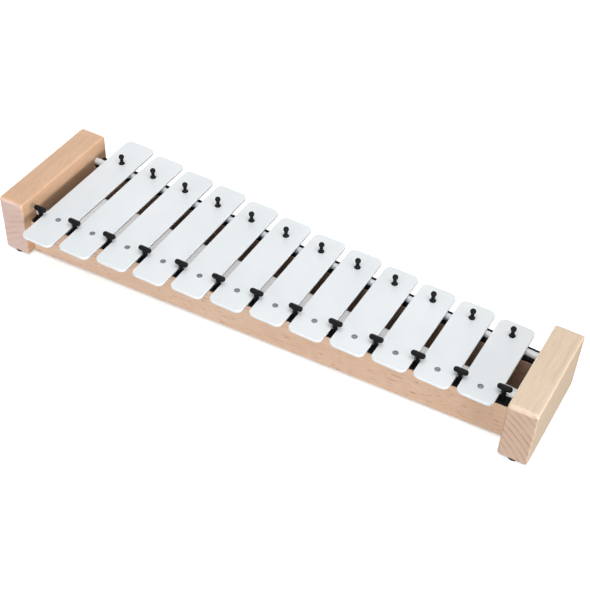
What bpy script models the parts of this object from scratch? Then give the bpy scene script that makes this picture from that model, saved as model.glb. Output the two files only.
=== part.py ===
"""Twelve-bar metallophone on a tapered beech frame.

The scale runs along X with the longest bar at -X. The bars lie along Y, with the player on the -Y side.
Sizes are in millimetres and the origin is under the middle of the whole, at the underside of the feet.
"""
import math

import bmesh
import bpy
from mathutils import Vector

MM = 0.001
SHARP_ANGLE = 40.0

# Clearances
FIT = 0.3
BORE_FIT = 0.15

# Bars: the lengths fall with the square root of the pitch, over a diatonic octave and a fifth
BAR_COUNT = 12
BAR_WIDTH = 25.0
BAR_PITCH = 29.2
BAR_THICK = 2.0
BAR_CORNER = 4.5
BAR_EASE = 0.3
LONGEST_BAR = 131.0
SCALE_STEPS = (0, 2, 4, 5, 7, 9, 11, 12, 14, 16, 17, 19)
BAR_TOP = 37.4
BAR_BOTTOM = BAR_TOP - BAR_THICK
NEAR_DIMPLE_RADIUS = 2.1
NEAR_DIMPLE_DEPTH = 0.7
NEAR_DIMPLE_POINT = 0.5
FAR_HOLE_RADIUS = 2.4
NEAR_HOLE_ROW = (32.4, 0.0377)
FAR_HOLE_ROW = (32.1, 0.0414)

# End blocks
BLOCK_INNER = 183.3
BLOCK_OUTER = 203.6
LEFT_BLOCK_HALF = 49.4
RIGHT_BLOCK_HALF = 41.1
BLOCK_BOTTOM = 1.5
BLOCK_TOP = 47.8
BLOCK_TOP_ROUND = 1.6
BLOCK_BOTTOM_ROUND = 1.5
BLOCK_END_ROUND = 1.2
BLOCK_END_TOP_ROUND = 3.0

# Rails, standing between the end blocks
RAIL_THICK = 12.0
RAIL_BOTTOM = 1.5
RAIL_TOP = 29.0
RAIL_END = BLOCK_INNER - FIT
NEAR_RAIL_ROW = (34.57, 0.045)
FAR_RAIL_ROW = (36.1, 0.045)

# Dowels that hold the rails to the blocks
DOWEL_RADIUS = 3.0
DOWEL_REACH = 12.0
DOWEL_HEIGHTS = (7.0, 16.0)

# Strips over the rails, each with a groove that its tube lies in
STRIP_BOTTOM = RAIL_TOP + FIT
STRIP_WEB_TOP = 29.7
STRIP_TOP = 31.2
STRIP_EDGE = 0.2
STRIP_START = -181.5
STRIP_END = 182.7

# Tubes that the bars rest on
TUBE_RADIUS = (BAR_BOTTOM - STRIP_WEB_TOP) / 2.0 - FIT
TUBE_BORE = 1.2
TUBE_HEIGHT = (BAR_BOTTOM + STRIP_WEB_TOP) / 2.0
TUBE_START = -182.7
NEAR_TUBE_ROW = (25.6, 0.045)
FAR_TUBE_ROW = (28.6, 0.0414)
GROOVE_HALF = 2.4

# Ball pins behind, one up through each bar's far hole
PIN_FOOT = 21.0
PIN_SHAFT = 0.8
PIN_COLLAR = 2.05
PIN_COLLAR_FROM = 34.5
PIN_COLLAR_TO = 38.2
PIN_NECK = 1.3
PIN_BALL = 2.1
PIN_BALL_HEIGHT = 43.4

# T-headed pegs in front, one in each gap and one at each end
PEG_FOOT = 21.0
PEG_STEM = 1.6
PEG_FLARE = 2.4
PEG_FLARE_FROM = 38.3
PEG_HEAD = 2.0
PEG_HEAD_LENGTH = 10.3
PEG_HEAD_HEIGHT = 42.0
PEG_ROW = (31.6, 0.045)

# Feet
FOOT_RADIUS = 4.0
FOOT_TOP = BLOCK_BOTTOM - FIT
FOOT_INSET = 4.2

# Base colour, roughness and metallic value of each material
LOOKS = {
    "white_lacquer": ((0.80, 0.82, 0.84), 0.30, 0.0),
    "beech": ((0.62, 0.42, 0.28), 0.55, 0.0),
    "black_plastic": ((0.012, 0.014, 0.016), 0.35, 0.0),
    "white_tube": ((0.66, 0.69, 0.72), 0.45, 0.0),
    "black_strip": ((0.012, 0.012, 0.013), 0.80, 0.0),
    "black_rubber": ((0.015, 0.015, 0.015), 0.75, 0.0),
}


def clear_scene():
    for old in list(bpy.data.objects):
        bpy.data.objects.remove(old, do_unlink=True)


def material(name):
    found = bpy.data.materials.get(name)
    if found:
        return found
    colour, rough, metal = LOOKS[name]
    made = bpy.data.materials.new(name)
    made.use_nodes = True
    shader = made.node_tree.nodes["Principled BSDF"]
    shader.inputs["Base Color"].default_value = (*colour, 1.0)
    shader.inputs["Roughness"].default_value = rough
    shader.inputs["Metallic"].default_value = metal
    return made


def add_object(name, body, look, origin=(0.0, 0.0, 0.0)):
    """Object from a body in millimetres, with its origin at the given point."""
    bmesh.ops.translate(body, verts=body.verts, vec=-Vector(origin))
    bmesh.ops.scale(body, verts=body.verts, vec=(MM, MM, MM))
    bmesh.ops.recalc_face_normals(body, faces=body.faces)
    mesh = bpy.data.meshes.new(name)
    body.to_mesh(mesh)
    body.free()
    mesh.shade_smooth()
    mesh.set_sharp_from_angle(angle=math.radians(SHARP_ANGLE))
    made = bpy.data.objects.new(name, mesh)
    made.location = Vector(origin) * MM
    made.data.materials.append(material(look))
    bpy.context.scene.collection.objects.link(made)
    return made


def loft(sections):
    """Closed body through rings of equally many points, capped at both ends."""
    body = bmesh.new()
    rings = [[body.verts.new(point) for point in ring] for ring in sections]
    count = len(rings[0])
    for low, high in zip(rings, rings[1:]):
        for i in range(count):
            j = (i + 1) % count
            body.faces.new((low[i], low[j], high[j], high[i]))
    body.faces.new(list(reversed(rings[0])))
    body.faces.new(rings[-1])
    return body


def rounded_rectangle(x0, x1, y0, y1, radius, steps, z):
    """Ring of a rectangle with rounded corners, at height z."""
    corners = ((x1 - radius, y1 - radius, 0), (x0 + radius, y1 - radius, 90),
               (x0 + radius, y0 + radius, 180), (x1 - radius, y0 + radius, 270))
    ring = []
    for cx, cy, start in corners:
        for k in range(steps + 1):
            angle = math.radians(start + 90.0 * k / steps)
            ring.append((cx + radius * math.cos(angle), cy + radius * math.sin(angle), z))
    return ring


def turned(profile, sides, x, y, z=0.0, along_x=False):
    """Solid of revolution through (radius, distance) pairs, upright or lying along X."""
    rings = []
    for radius, distance in profile:
        ring = []
        for k in range(sides):
            angle = 2.0 * math.pi * k / sides
            a = radius * math.cos(angle)
            b = radius * math.sin(angle)
            ring.append((x + distance, y + a, z + b) if along_x else (x + a, y + b, z + distance))
        rings.append(ring)
    return loft(rings)


def tool_object(name, bodies):
    """One hidden object made of separate closed bodies, for cutting or joining."""
    whole = bmesh.new()
    for body in bodies:
        bmesh.ops.recalc_face_normals(body, faces=body.faces)
        mesh = bpy.data.meshes.new(name)
        body.to_mesh(mesh)
        body.free()
        whole.from_mesh(mesh)
        bpy.data.meshes.remove(mesh)
    made = add_object(name, whole, "black_rubber")
    made.hide_render = True
    made.display_type = "WIRE"
    return made


def combine(target, tool, operation):
    step = target.modifiers.new(tool.name, "BOOLEAN")
    step.operation = operation
    step.solver = "EXACT"
    step.object = tool


def out_from_middle(row, x):
    """How far a row stands from the centre line at x, for a row given as (middle, taper)."""
    middle, taper = row
    return middle - taper * x


def bar_x(i):
    return (i - (BAR_COUNT - 1) / 2.0) * BAR_PITCH


def pin_spots():
    return [(bar_x(i), out_from_middle(FAR_HOLE_ROW, bar_x(i))) for i in range(BAR_COUNT)]


def peg_spots():
    places = [(j - BAR_COUNT / 2.0) * BAR_PITCH for j in range(BAR_COUNT + 1)]
    return [(x, -out_from_middle(PEG_ROW, x)) for x in places]


def upright_bores(spots, radius, low, high):
    return [turned(((radius, low), (radius, high)), 12, x, y) for x, y in spots]


def dowel_lines():
    """The (name, x, y, z) of each dowel's middle, where a rail meets a block."""
    lines = []
    for place, side, row in (("near", -1, NEAR_RAIL_ROW), ("far", 1, FAR_RAIL_ROW)):
        for end, sign in (("left", -1), ("right", 1)):
            x = sign * (BLOCK_INNER - FIT / 2.0)
            y = side * (out_from_middle(row, x) - RAIL_THICK / 2.0)
            for level, z in zip(("low", "high"), DOWEL_HEIGHTS):
                lines.append(("dowel_%s_%s_%s" % (place, end, level), x, y, z))
    return lines


def dowel_bores():
    bores = []
    radius = DOWEL_RADIUS + BORE_FIT
    reach = DOWEL_REACH + FIT
    for _, x, y, z in dowel_lines():
        bores.append(turned(((radius, -reach), (radius, reach)), 20, x, y, z, along_x=True))
    return bores


def make_bars():
    for i in range(BAR_COUNT):
        x = bar_x(i)
        half = LONGEST_BAR * 2.0 ** (-SCALE_STEPS[i] / 24.0) / 2.0
        levels = ((BAR_EASE, BAR_BOTTOM), (0.0, BAR_BOTTOM + BAR_EASE),
                  (0.0, BAR_TOP - BAR_EASE), (BAR_EASE, BAR_TOP))
        rings = []
        for inset, z in levels:
            reach = BAR_WIDTH / 2.0 - inset
            rings.append(rounded_rectangle(x - reach, x + reach, -half + inset, half - inset,
                                           BAR_CORNER - inset, 4, z))
        pivot = (x, -out_from_middle(NEAR_TUBE_ROW, x), BAR_BOTTOM)
        bar = add_object("bar_%02d" % (i + 1), loft(rings), "white_lacquer", pivot)
        dimple_floor = BAR_TOP - NEAR_DIMPLE_DEPTH
        dimple = ((NEAR_DIMPLE_RADIUS * 0.1, dimple_floor - NEAR_DIMPLE_POINT),
                  (NEAR_DIMPLE_RADIUS, dimple_floor), (NEAR_DIMPLE_RADIUS, BAR_TOP + 2.0))
        hole = ((FAR_HOLE_RADIUS, BAR_BOTTOM - 2.0), (FAR_HOLE_RADIUS, BAR_TOP + 2.0))
        drills = [turned(dimple, 16, x, -out_from_middle(NEAR_HOLE_ROW, x)),
                  turned(hole, 16, x, out_from_middle(FAR_HOLE_ROW, x))]
        combine(bar, tool_object("bar_drills_%02d" % (i + 1), drills), "DIFFERENCE")


def block_section(x0, x1, inset, drop, y):
    """Ring of a block's section across its length, drawn in by an inset and lowered at the top by a drop."""
    low = BLOCK_BOTTOM + inset
    high = BLOCK_TOP - drop
    left = x0 + inset
    right = x1 - inset
    top = BLOCK_TOP_ROUND - inset
    foot = max(BLOCK_BOTTOM_ROUND - inset, 0.2)
    corners = ((right - top, high - top, top, 0, 6), (left + top, high - top, top, 90, 6),
               (left + foot, low + foot, foot, 180, 3), (right - foot, low + foot, foot, 270, 3))
    ring = []
    for cx, cz, radius, start, steps in corners:
        for k in range(steps + 1):
            angle = math.radians(start + 90.0 * k / steps)
            ring.append((cx + radius * math.cos(angle), y, cz + radius * math.sin(angle)))
    return ring


def block_body(x0, x1, half):
    """Length of the block's section along Y, with both ends eased, most of all along the top."""
    steps = 5
    ends = []
    for k in range(steps + 1):
        angle = math.radians(90.0 * k / steps)
        drop = BLOCK_END_TOP_ROUND * (1.0 - math.sin(angle))
        depth = BLOCK_END_TOP_ROUND * (1.0 - math.cos(angle))
        short = max(BLOCK_END_ROUND - depth, 0.0)
        inset = BLOCK_END_ROUND - math.sqrt(BLOCK_END_ROUND ** 2 - short ** 2)
        ends.append((inset, drop, half - depth))
    rings = [block_section(x0, x1, inset, drop, -y) for inset, drop, y in ends]
    rings += [block_section(x0, x1, inset, drop, y) for inset, drop, y in reversed(ends)]
    return loft(rings)


def make_blocks():
    places = (("end_block_left", -BLOCK_OUTER, -BLOCK_INNER, LEFT_BLOCK_HALF),
              ("end_block_right", BLOCK_INNER, BLOCK_OUTER, RIGHT_BLOCK_HALF))
    for name, x0, x1, half in places:
        block = add_object(name, block_body(x0, x1, half), "beech")
        combine(block, tool_object("bores_" + name, dowel_bores()), "DIFFERENCE")


def tapered_bar(row, side, width, low, high, x0, x1):
    """Straight length of four-sided section whose outer face follows a row."""
    rings = []
    for x in (x0, x1):
        outer = side * out_from_middle(row, x)
        inner = side * (out_from_middle(row, x) - width)
        rings.append(((x, outer, low), (x, outer, high), (x, inner, high), (x, inner, low)))
    return loft(rings)


def strip_section(rail_row, tube_row, side, x):
    """Ring of a strip across its length: as wide as the rail, with a groove for the tube."""
    outer = out_from_middle(rail_row, x) - STRIP_EDGE
    inner = out_from_middle(rail_row, x) - RAIL_THICK + STRIP_EDGE
    groove_out = out_from_middle(tube_row, x) + GROOVE_HALF
    groove_in = out_from_middle(tube_row, x) - GROOVE_HALF
    points = [(outer, STRIP_BOTTOM), (outer, STRIP_TOP), (groove_out, STRIP_TOP), (groove_out, STRIP_WEB_TOP)]
    if side > 0:
        points += [(groove_in, STRIP_WEB_TOP), (groove_in, STRIP_TOP), (inner, STRIP_TOP)]
    else:
        points += [(inner, STRIP_WEB_TOP)]
    points.append((inner, STRIP_BOTTOM))
    return [(x, side * y, z) for y, z in points]


def make_rails_and_strips():
    near = ("near", -1, NEAR_RAIL_ROW, NEAR_TUBE_ROW, peg_spots(), PEG_STEM, PEG_FOOT)
    far = ("far", 1, FAR_RAIL_ROW, FAR_TUBE_ROW, pin_spots(), PIN_SHAFT, PIN_FOOT)
    for place, side, rail_row, tube_row, spots, stem, foot in (near, far):
        rail_body = tapered_bar(rail_row, side, RAIL_THICK, RAIL_BOTTOM, RAIL_TOP, -RAIL_END, RAIL_END)
        rail = add_object("rail_" + place, rail_body, "beech")
        bores = upright_bores(spots, stem + BORE_FIT, foot - FIT, BAR_BOTTOM)
        combine(rail, tool_object("bores_rail_" + place, bores + dowel_bores()), "DIFFERENCE")
        sections = [strip_section(rail_row, tube_row, side, x) for x in (STRIP_START, STRIP_END)]
        strip = add_object("strip_" + place, loft(sections), "black_strip")
        bores = upright_bores(spots, stem + BORE_FIT, foot - FIT, BAR_BOTTOM)
        combine(strip, tool_object("bores_strip_" + place, bores), "DIFFERENCE")


def make_dowels():
    for name, x, y, z in dowel_lines():
        ease = 0.5
        profile = ((DOWEL_RADIUS - ease, -DOWEL_REACH), (DOWEL_RADIUS, -DOWEL_REACH + ease),
                   (DOWEL_RADIUS, DOWEL_REACH - ease), (DOWEL_RADIUS - ease, DOWEL_REACH))
        add_object(name, turned(profile, 16, x, y, z, along_x=True), "beech")


def make_tubes():
    """Hoses laid along the inner half of each rail, open at both ends."""
    sides = 20
    for place, side, row in (("near", -1, NEAR_TUBE_ROW), ("far", 1, FAR_TUBE_ROW)):
        body = bmesh.new()
        rings = []
        for radius, x in ((TUBE_RADIUS, TUBE_START), (TUBE_RADIUS, STRIP_END),
                          (TUBE_BORE, STRIP_END), (TUBE_BORE, TUBE_START)):
            ring = []
            for k in range(sides):
                angle = 2.0 * math.pi * k / sides
                y = side * out_from_middle(row, x) + radius * math.cos(angle)
                ring.append(body.verts.new((x, y, TUBE_HEIGHT + radius * math.sin(angle))))
            rings.append(ring)
        for ring, following in zip(rings, rings[1:] + rings[:1]):
            for k in range(sides):
                j = (k + 1) % sides
                body.faces.new((ring[k], ring[j], following[j], following[k]))
        add_object("tube_" + place, body, "white_tube")


def make_pins():
    for i, (x, y) in enumerate(pin_spots()):
        profile = [(PIN_SHAFT * 0.6, PIN_FOOT), (PIN_SHAFT, PIN_FOOT + 1.0),
                   (PIN_SHAFT, PIN_COLLAR_FROM), (PIN_COLLAR, PIN_COLLAR_FROM + 0.6),
                   (PIN_COLLAR, PIN_COLLAR_TO - 0.5), (PIN_NECK, PIN_COLLAR_TO + 0.6)]
        lowest = -math.degrees(math.acos(PIN_NECK / PIN_BALL))
        steps = 6
        for k in range(steps + 1):
            angle = math.radians(lowest + (80.0 - lowest) * k / steps)
            profile.append((PIN_BALL * math.cos(angle), PIN_BALL_HEIGHT + PIN_BALL * math.sin(angle)))
        add_object("ball_pin_%02d" % (i + 1), turned(profile, 12, x, y), "black_plastic")


def make_pegs():
    half = PEG_HEAD_LENGTH / 2.0
    cap = []
    for angle in (22.5, 45.0, 67.5, 90.0):
        turn = math.radians(angle)
        cap.append((PEG_HEAD * math.sin(turn), -half + PEG_HEAD * (1.0 - math.cos(turn))))
    profile = cap + [(radius, -distance) for radius, distance in reversed(cap)]
    for j, (x, y) in enumerate(peg_spots()):
        stem = ((PEG_STEM * 0.6, PEG_FOOT), (PEG_STEM, PEG_FOOT + 1.0), (PEG_STEM, PEG_FLARE_FROM),
                (PEG_FLARE, PEG_HEAD_HEIGHT - PEG_HEAD * 0.5), (PEG_STEM, PEG_HEAD_HEIGHT))
        peg = add_object("hook_peg_%02d" % (j + 1), turned(stem, 12, x, y), "black_plastic")
        head = turned(profile, 12, x, y, PEG_HEAD_HEIGHT, along_x=True)
        combine(peg, tool_object("peg_head_%02d" % (j + 1), [head]), "UNION")


def make_feet():
    middle = (BLOCK_INNER + BLOCK_OUTER) / 2.0
    profile = ((FOOT_RADIUS - 0.3, 0.0), (FOOT_RADIUS, 0.3), (FOOT_RADIUS, FOOT_TOP))
    for end, sign, half in (("left", -1, LEFT_BLOCK_HALF), ("right", 1, RIGHT_BLOCK_HALF)):
        for place, side in (("near", -1), ("far", 1)):
            body = turned(profile, 24, sign * middle, side * (half - FOOT_INSET))
            add_object("foot_%s_%s" % (end, place), body, "black_rubber")


clear_scene()
make_bars()
make_blocks()
make_rails_and_strips()
make_dowels()
make_tubes()
make_pins()
make_pegs()
make_feet()
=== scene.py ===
"""Looks, light and camera for the twelve-bar metallophone.

Lengths are in millimetres until they are handed to Blender, and MM turns them into metres.
"""
import math

import bpy
from mathutils import Euler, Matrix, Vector

MM = 0.001

# Camera, at the photograph's angle
CAMERA_PLACE = (293.05, -530.88, 599.24)
CAMERA_TURN = (45.9938, -1.7018, 30.0305)
CAMERA_LENS = 73.41
CAMERA_SHIFT = (0.01305, -0.00144)
SENSOR_WIDTH = 36.0

# Soft studio light: one lamp overhead, and low wide ones in front, on the right and behind
LAMPS = (("key_light", (200.0, -150.0, 1600.0), (1400.0, 1400.0), 16.0),
         ("front_light", (-150.0, -1500.0, 250.0), (1800.0, 440.0), 17.0),
         ("side_light", (1500.0, -250.0, 250.0), (1200.0, 440.0), 18.5),
         ("back_light", (-900.0, 1250.0, 250.0), (1800.0, 440.0), 11.0))
SKY_STRENGTH = 0.30
FLOOR_REACH = 4000.0
FLOOR_LIFT = (0.45, 0.78)
FLOOR_LIFT_REACH = (700.0, 2200.0)
FLOOR_BOUNCE = "6A6664"

# Beech, in millimetres across or along the grain
BEECH_RING = 4.6
BEECH_SWAY = 4.0
BEECH_SWAY_WIDTH = 70.0
BEECH_SWAY_LENGTH = 200.0
BEECH_PORE = 0.45
BEECH_PORE_LENGTH = 14.0
BEECH_FLECK = 0.8
BEECH_FLECK_LENGTH = 7.0
BEECH_CLOUD = 38.0
BEECH_CLOUD_LENGTH = 114.0

# How squarely a face looks along the grain, from side grain to full end grain
END_GRAIN = (0.55, 0.95)

# Grain of the other finishes, in millimetres
LACQUER_PEEL = 2.2
LACQUER_CLOUD = 45.0
MOULD_GRAIN = 0.35
FELT_FIBRE = 0.5
HOSE_CLOUD = 9.0
HOSE_CLOUD_LENGTH = 27.0
RUBBER_MOTTLE = 1.2
TURNING_WIDTH = 3.0
TURNING_MARK = 0.12

# Sizes that the finishes follow
NEAR_HOLE_ROW = (32.4, 0.0377)
FAR_HOLE_ROW = (32.1, 0.0414)
HOLE_RADII = (2.1, 2.4)
BAR_COUNT = 12
BAR_PITCH = 29.2

# Edges sharper than this, in degrees, stay crisp
SHARP_ANGLE = 40.0


def linear(code):
    """Linear colour from an sRGB hex code such as 'DDBB98'."""
    values = []
    for k in (0, 2, 4):
        part = int(code[k:k + 2], 16) / 255.0
        values.append(part / 12.92 if part <= 0.04045 else ((part + 0.055) / 1.055) ** 2.4)
    return (*values, 1.0)


def add_node(tree, kind, settings=None, links=None):
    """Adds a node, sets its properties and inputs, and links inputs to other nodes' outputs."""
    node = tree.nodes.new(kind)
    for name, value in (settings or {}).items():
        if isinstance(name, str) and hasattr(node, name):
            setattr(node, name, value)
        else:
            node.inputs[name].default_value = value
    for name, source in (links or {}).items():
        tree.links.new(source, node.inputs[name])
    return node


def new_finish(name, base, roughness, **shader_values):
    """Material with a Principled shader, and its tree, shader and place in the object's own space."""
    made = bpy.data.materials.new(name)
    made.use_nodes = True
    tree = made.node_tree
    shader = tree.nodes["Principled BSDF"]
    shader.inputs["Base Color"].default_value = linear(base)
    shader.inputs["Roughness"].default_value = roughness
    for socket, value in shader_values.items():
        shader.inputs[socket.replace("_", " ")].default_value = value
    place = add_node(tree, "ShaderNodeTexCoord").outputs["Object"]
    return made, tree, shader, place


def grain_space(tree, place, sizes):
    """The place divided by the pattern's size in millimetres along X, Y and Z."""
    scale = tuple(1.0 / (size * MM) for size in sizes)
    return add_node(tree, "ShaderNodeMapping", {"Scale": scale}, {"Vector": place}).outputs["Vector"]


def noise(tree, vector, detail=2.0, roughness=0.5):
    settings = {"Scale": 1.0, "Detail": detail, "Roughness": roughness}
    return add_node(tree, "ShaderNodeTexNoise", settings, {"Vector": vector}).outputs["Fac"]


def ramp(tree, source, stops):
    """Colour ramp through (position, sRGB code) stops."""
    node = add_node(tree, "ShaderNodeValToRGB", links={"Fac": source})
    for position, code in stops[2:]:
        node.color_ramp.elements.new(position)
    for element, (position, code) in zip(node.color_ramp.elements, stops):
        element.position = position
        element.color = linear(code)
    return node.outputs["Color"]


def bump(tree, shader, height, depth_mm, strength=1.0):
    settings = {"Strength": strength, "Distance": depth_mm * MM}
    node = add_node(tree, "ShaderNodeBump", settings, {"Height": height})
    tree.links.new(node.outputs["Normal"], shader.inputs["Normal"])
    return node


def along_grain(along, length, width):
    """Pattern sizes for X, Y and Z: a length along the grain and a width across it."""
    return tuple(length if axis == along else width for axis in "XYZ")


def mix_colours(tree, kind, share, below, above):
    """Mix node's colour: share is a number or another node's output."""
    node = add_node(tree, "ShaderNodeMix", {"data_type": "RGBA", "blend_type": kind})
    if isinstance(share, float):
        node.inputs[0].default_value = share
    else:
        tree.links.new(share, node.inputs[0])
    tree.links.new(below, node.inputs[6])
    tree.links.new(above, node.inputs[7])
    return node.outputs[2]


def sawn_beech(name, colours, along, pith, ring_share, fleck_share):
    """Steamed beech, planed and sealed with satin lacquer.

    The eye sees faint growth rings, fine pores along the grain, short red-brown flecks, and end grain
    of another tone. colours are the pale, mid, end-grain, ring and pore codes, along is the grain's
    axis and pith the (across, up) place of the tree's heart.
    """
    pale, mid, end, dark, pore = colours
    made, tree, shader, place = new_finish(name, mid, 0.42, Coat_Weight=0.18, Coat_Roughness=0.30)
    across = "Y" if along == "X" else "X"

    def pattern(length, width, detail, roughness=0.5):
        return noise(tree, grain_space(tree, place, along_grain(along, length, width)), detail, roughness)

    def reckon(operation, first, second=None):
        """Math node's output. second is a number or another node's output."""
        values = {"operation": operation}
        links = {0: first}
        if isinstance(second, float):
            values[1] = second
        elif second is not None:
            links[1] = second
        return add_node(tree, "ShaderNodeMath", values, links).outputs[0]

    parts = add_node(tree, "ShaderNodeSeparateXYZ", links={"Vector": place})

    sway = pattern(BEECH_SWAY_LENGTH, BEECH_SWAY_WIDTH, 2.0)
    swing = reckon("MULTIPLY", sway, BEECH_SWAY * MM)
    legs = []
    for axis, centre in ((across, pith[0]), ("Z", pith[1])):
        off = reckon("SUBTRACT", parts.outputs[axis], centre * MM)
        legs.append(reckon("POWER", reckon("ADD", off, swing), 2.0))
    radius = reckon("SQRT", reckon("ADD", legs[0], legs[1]))
    year = reckon("FRACT", reckon("DIVIDE", radius, BEECH_RING * MM))

    cloud = pattern(BEECH_CLOUD_LENGTH, BEECH_CLOUD, 3.0, 0.6)
    tone = ramp(tree, cloud, ((0.30, pale), (0.70, mid)))
    normal = add_node(tree, "ShaderNodeTexCoord").outputs["Normal"]
    sides = add_node(tree, "ShaderNodeSeparateXYZ", links={"Vector": normal})
    facing = reckon("ABSOLUTE", sides.outputs[along])
    end_range = {"From Min": END_GRAIN[0], "From Max": END_GRAIN[1]}
    end_share = add_node(tree, "ShaderNodeMapRange", end_range, {"Value": facing}).outputs["Result"]
    end_tone = add_node(tree, "ShaderNodeRGB").outputs["Color"]
    end_tone.default_value = linear(end)
    tone = mix_colours(tree, "MIX", end_share, tone, end_tone)

    ring = ramp(tree, year, ((0.0, "FFFFFF"), (0.55, "FCF7F1"), (0.90, dark), (1.0, "FFFFFF")))
    strong = pattern(60.0, 12.0, 2.0)
    ring_range = {"From Min": 0.35, "From Max": 0.70, "To Min": 0.02, "To Max": ring_share}
    strength = add_node(tree, "ShaderNodeMapRange", ring_range, {"Value": strong}).outputs["Result"]
    end_range["To Min"] = 0.30
    end_gain = add_node(tree, "ShaderNodeMapRange", end_range, {"Value": facing}).outputs["Result"]
    strength = reckon("MULTIPLY", strength, end_gain)
    result = mix_colours(tree, "MULTIPLY", strength, tone, ring)

    fibres = pattern(BEECH_PORE_LENGTH, BEECH_PORE, 2.0, 0.6)
    flecks = pattern(BEECH_FLECK_LENGTH, BEECH_FLECK, 1.0, 0.4)
    fibre_tone = ramp(tree, fibres, ((0.35, pore), (0.55, "FFFFFF")))
    fleck_tone = ramp(tree, flecks, ((0.67, "FFFFFF"), (0.74, pore)))
    result = mix_colours(tree, "MULTIPLY", 0.18, result, fibre_tone)
    result = mix_colours(tree, "MULTIPLY", fleck_share, result, fleck_tone)
    tree.links.new(result, shader.inputs["Base Color"])
    bump(tree, shader, fibres, 0.03, 0.4)
    return made


def white_lacquer():
    """Steel bar under sprayed white lacquer: even and cool white, with a faint peel in its gloss."""
    made, tree, shader, place = new_finish("white_lacquer_on_steel", "E6EAED", 0.34)
    cloud = noise(tree, grain_space(tree, place, (LACQUER_CLOUD,) * 3), 3.0)
    tree.links.new(ramp(tree, cloud, ((0.3, "E3E8EB"), (0.7, "E9EDF0"))), shader.inputs["Base Color"])
    peel = noise(tree, grain_space(tree, place, (LACQUER_PEEL,) * 3), 1.0)
    bump(tree, shader, peel, 0.012, 0.5)
    return made


def drilled_steel():
    """Wall of a hole drilled before lacquering: dull grey metal with turning marks round it."""
    made, tree, shader, place = new_finish("drilled_steel_wall", "888C8F", 0.60, Metallic=0.25)
    marks = noise(tree, grain_space(tree, place, (TURNING_WIDTH, TURNING_WIDTH, TURNING_MARK)), 1.0)
    tree.links.new(ramp(tree, marks, ((0.3, "767A7D"), (0.7, "979B9E"))), shader.inputs["Base Color"])
    bump(tree, shader, marks, 0.02, 0.5)
    return made


def moulded_black():
    """Injection-moulded black ABS: near black with a soft shine and a fine mould grain."""
    made, tree, shader, place = new_finish("moulded_black_abs", "08090A", 0.48, Specular_IOR_Level=0.13)
    grain = noise(tree, grain_space(tree, place, (MOULD_GRAIN,) * 3), 2.0)
    tree.links.new(ramp(tree, grain, ((0.3, "060708"), (0.7, "0C0E10"))), shader.inputs["Base Color"])
    bump(tree, shader, grain, 0.015, 0.5)
    return made


def soft_hose():
    """Extruded white silicone hose: smooth, cool white, slightly uneven from handling."""
    made, tree, shader, place = new_finish("white_silicone_hose", "DDE1E6", 0.40)
    cloud = noise(tree, grain_space(tree, place, (HOSE_CLOUD_LENGTH, HOSE_CLOUD, HOSE_CLOUD)), 3.0)
    tree.links.new(ramp(tree, cloud, ((0.3, "D6DBE0"), (0.7, "E6E9ED"))), shader.inputs["Base Color"])
    bump(tree, shader, cloud, 0.05, 0.3)
    return made


def pressed_felt():
    """Pressed black felt strip: matt, with short fibres that break up its surface."""
    made, tree, shader, place = new_finish("pressed_black_felt", "0C0C0D", 0.90, Specular_IOR_Level=0.15)
    fibre = noise(tree, grain_space(tree, place, (FELT_FIBRE,) * 3), 4.0, 0.7)
    tree.links.new(ramp(tree, fibre, ((0.3, "070708"), (0.7, "121214"))), shader.inputs["Base Color"])
    bump(tree, shader, fibre, 0.15, 0.6)
    return made


def foot_rubber():
    """Die-cut black rubber pad: matt, with a faint mottle."""
    made, tree, shader, place = new_finish("die_cut_rubber", "1A1A1A", 0.75)
    mottle = noise(tree, grain_space(tree, place, (RUBBER_MOTTLE,) * 3), 3.0)
    tree.links.new(ramp(tree, mottle, ((0.3, "151515"), (0.7, "222222"))), shader.inputs["Base Color"])
    bump(tree, shader, mottle, 0.05, 0.5)
    return made


def paint(node, *finishes):
    """Gives a node its finishes, the first of them all over."""
    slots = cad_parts[node].data.materials
    slots.clear()
    for finish in finishes:
        slots.append(finish)


def smooth_round_edges(node):
    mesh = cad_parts[node].data
    mesh.shade_smooth()
    mesh.set_sharp_from_angle(angle=math.radians(SHARP_ANGLE))


def show_hole_walls(node, number):
    """Gives the bar's second finish to its dimple and to the wall of its hole."""
    x = (number - (BAR_COUNT + 1) / 2.0) * BAR_PITCH
    near = Vector((x, -(NEAR_HOLE_ROW[0] - NEAR_HOLE_ROW[1] * x))) * MM
    far = Vector((x, FAR_HOLE_ROW[0] - FAR_HOLE_ROW[1] * x)) * MM
    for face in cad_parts[node].data.polygons:
        for middle, radius in ((near, HOLE_RADII[0]), (far, HOLE_RADII[1])):
            if face.normal.z < 0.995 and (face.center.xy - middle).length < (radius + 0.1) * MM:
                face.material_index = 1


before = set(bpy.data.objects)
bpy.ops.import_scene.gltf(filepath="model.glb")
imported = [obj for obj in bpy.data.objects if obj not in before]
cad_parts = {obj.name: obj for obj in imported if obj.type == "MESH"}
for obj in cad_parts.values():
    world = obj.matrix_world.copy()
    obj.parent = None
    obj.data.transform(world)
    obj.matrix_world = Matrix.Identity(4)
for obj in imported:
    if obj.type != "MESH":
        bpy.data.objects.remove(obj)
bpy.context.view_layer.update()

lacquer = white_lacquer()
steel = drilled_steel()
black = moulded_black()
hose = soft_hose()
felt = pressed_felt()
rubber = foot_rubber()
rail_beech = sawn_beech("planed_beech_rail", ("E8CAB2", "DEBEA3", "D2AE92", "C58F6C", "A9694A"),
                        "X", (70.0, -60.0), 0.35, 0.70)
left_beech = sawn_beech("planed_beech_left_block", ("DDB796", "D3AA88", "E0C6BB", "C4956F", "AE7A55"),
                        "Y", (-150.0, -55.0), 0.45, 0.25)
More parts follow.
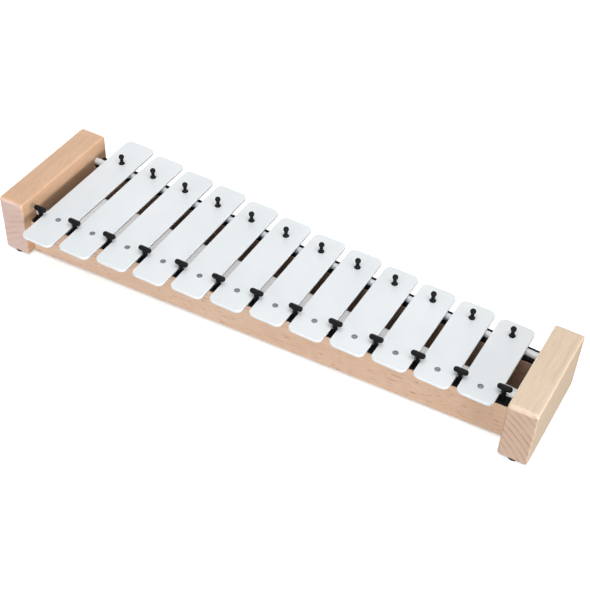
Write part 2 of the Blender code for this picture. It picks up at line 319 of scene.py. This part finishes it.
right_beech = sawn_beech("planed_beech_right_block", ("DFCBB4", "D8C2A8", "D2B8A5", "AD8264", "BE9877"),
                         "Y", (140.0, -35.0), 0.60, 0.20)

for number in range(1, BAR_COUNT + 1):
    bar = "bar_%02d" % number
    paint(bar, lacquer, steel)
    show_hole_walls(bar, number)
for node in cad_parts:
    if node.startswith(("ball_pin", "hook_peg")):
        paint(node, black)
    elif node.startswith("rail_") or node.startswith("dowel_"):
        paint(node, rail_beech)
    elif node.startswith("tube_"):
        paint(node, hose)
    elif node.startswith("strip_"):
        paint(node, felt)
    elif node.startswith("foot_"):
        paint(node, rubber)
    smooth_round_edges(node)
paint("end_block_left", left_beech)
paint("end_block_right", right_beech)


def white_floor():
    """Matt white paper: a soft shadow round the part, and even white out to the horizon."""
    made, tree, shader, place = new_finish("white_studio_paper", "FFFFFF", 0.9)
    shader.inputs["Specular IOR Level"].default_value = 0.0
    output = tree.nodes["Material Output"]
    away = add_node(tree, "ShaderNodeVectorMath", {"operation": "LENGTH"}, {0: place}).outputs["Value"]
    lift_range = {"From Min": FLOOR_LIFT_REACH[0] * MM, "From Max": FLOOR_LIFT_REACH[1] * MM,
                  "To Min": FLOOR_LIFT[0], "To Max": FLOOR_LIFT[1]}
    lift = add_node(tree, "ShaderNodeMapRange", lift_range, {"Value": away}).outputs["Result"]
    glow = add_node(tree, "ShaderNodeEmission", {"Color": linear("FFFFFF")}, {"Strength": lift})
    both = add_node(tree, "ShaderNodeAddShader",
                    links={0: shader.outputs["BSDF"], 1: glow.outputs["Emission"]})
    dull = add_node(tree, "ShaderNodeBsdfDiffuse", {"Color": linear(FLOOR_BOUNCE)})
    seen = add_node(tree, "ShaderNodeLightPath").outputs["Is Camera Ray"]
    choice = add_node(tree, "ShaderNodeMixShader",
                      links={"Fac": seen, 1: dull.outputs["BSDF"], 2: both.outputs[0]})
    tree.links.new(choice.outputs[0], output.inputs["Surface"])
    return made


def add_floor():
    reach = FLOOR_REACH * MM
    mesh = bpy.data.meshes.new("studio_floor")
    outline = [(-reach, -reach, 0), (reach, -reach, 0), (reach, reach, 0), (-reach, reach, 0)]
    mesh.from_pydata(outline, [], [(0, 1, 2, 3)])
    mesh.materials.append(white_floor())
    floor = bpy.data.objects.new("studio_floor", mesh)
    bpy.context.scene.collection.objects.link(floor)


def add_soft_light(name, place, size, power):
    data = bpy.data.lights.new(name, "AREA")
    data.shape = "RECTANGLE"
    data.size, data.size_y = size[0] * MM, size[1] * MM
    data.energy = power
    light = bpy.data.objects.new(name, data)
    light.location = Vector(place) * MM
    light.rotation_euler = (-light.location).to_track_quat("-Z", "Y").to_euler()
    bpy.context.scene.collection.objects.link(light)


def add_sky():
    world = bpy.data.worlds.new("white_room")
    world.use_nodes = True
    bpy.context.scene.world = world
    tree = world.node_tree
    sky = tree.nodes["Background"]
    sky.inputs["Strength"].default_value = SKY_STRENGTH
    sky.inputs["Color"].default_value = linear("FFFFFF")
    shown = add_node(tree, "ShaderNodeBackground", {"Color": linear("FFFFFF"), "Strength": 1.0})
    path = add_node(tree, "ShaderNodeLightPath")
    straight = add_node(tree, "ShaderNodeMath", {"operation": "MAXIMUM"},
                        {0: path.outputs["Is Camera Ray"], 1: path.outputs["Is Glossy Ray"]})
    choice = add_node(tree, "ShaderNodeMixShader",
                      links={"Fac": straight.outputs[0], 1: sky.outputs[0], 2: shown.outputs[0]})
    tree.links.new(choice.outputs[0], tree.nodes["World Output"].inputs["Surface"])


def add_camera():
    data = bpy.data.cameras.new("photo_camera")
    data.sensor_width = SENSOR_WIDTH
    data.lens = CAMERA_LENS
    data.shift_x, data.shift_y = CAMERA_SHIFT
    camera = bpy.data.objects.new("photo_camera", data)
    camera.location = Vector(CAMERA_PLACE) * MM
    camera.rotation_euler = Euler([math.radians(turn) for turn in CAMERA_TURN], "XYZ")
    bpy.context.scene.collection.objects.link(camera)
    bpy.context.scene.camera = camera


add_floor()
for lamp in LAMPS:
    add_soft_light(*lamp)
add_sky()
add_camera()
bpy.context.scene.view_settings.view_transform = "Standard"
